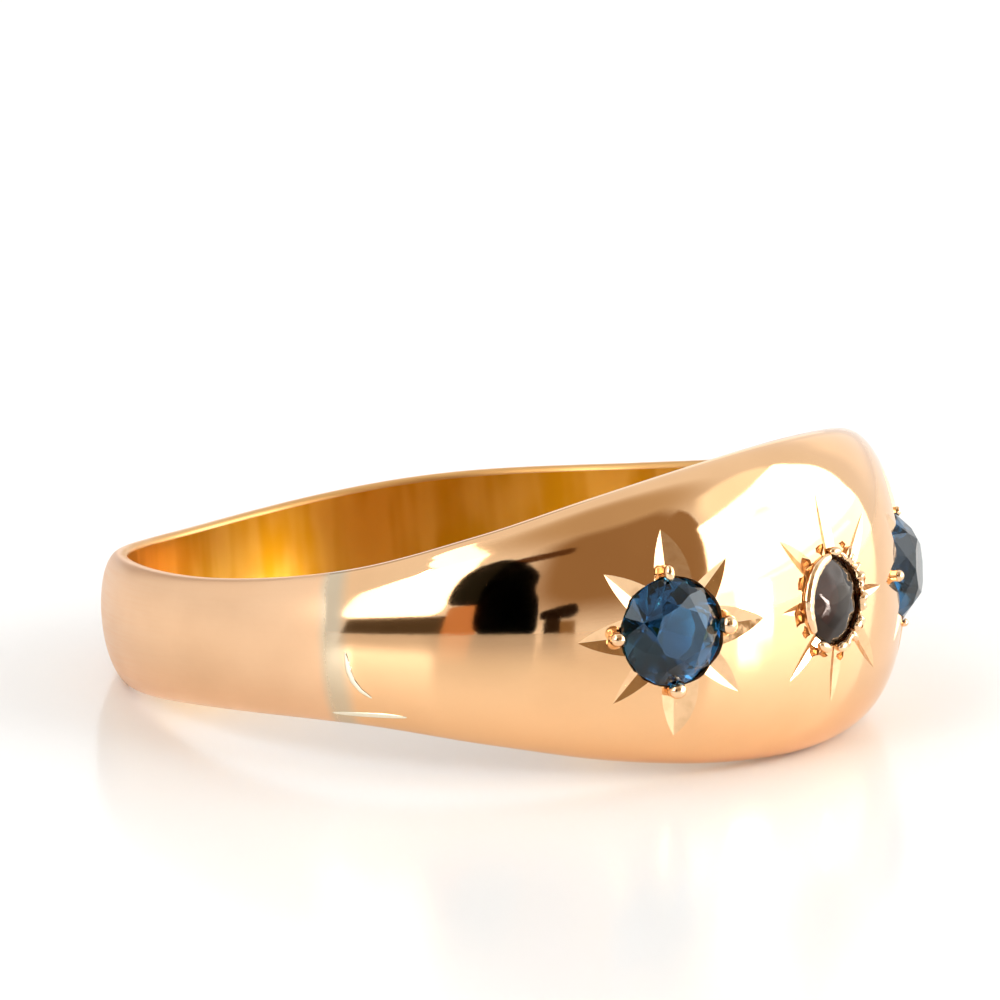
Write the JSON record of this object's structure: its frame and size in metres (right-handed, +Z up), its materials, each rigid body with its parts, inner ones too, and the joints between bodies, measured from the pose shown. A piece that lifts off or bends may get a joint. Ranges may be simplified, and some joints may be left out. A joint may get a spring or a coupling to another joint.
{
  "type": "flush set gypsy ring",
  "caption": "Gold finger ring with a wide domed head that tapers to a narrow shank, set with round sapphires either side of a round diamond, each held by grains in a cut star.",
  "frame": {"origin": "on the surface that the ring lies on, under the middle of its box", "axes": "+Z up from the surface, -Y towards the middle of the domed head, +X towards the second sapphire; the ring's own axis leans 8.09 degrees from +Z towards +Y, because the wide head tips the ring back where it lies"},
  "size_m": [0.0188, 0.0198, 0.0074],
  "materials": {
    "gold": "polished",
    "sapphire": "polished",
    "diamond": "polished"
  },
  "bodies": {
    "root": {"band": "gold", "sapphire_left": "sapphire", "diamond": "diamond", "sapphire_right": "sapphire"}
  },
  "joints": []
}
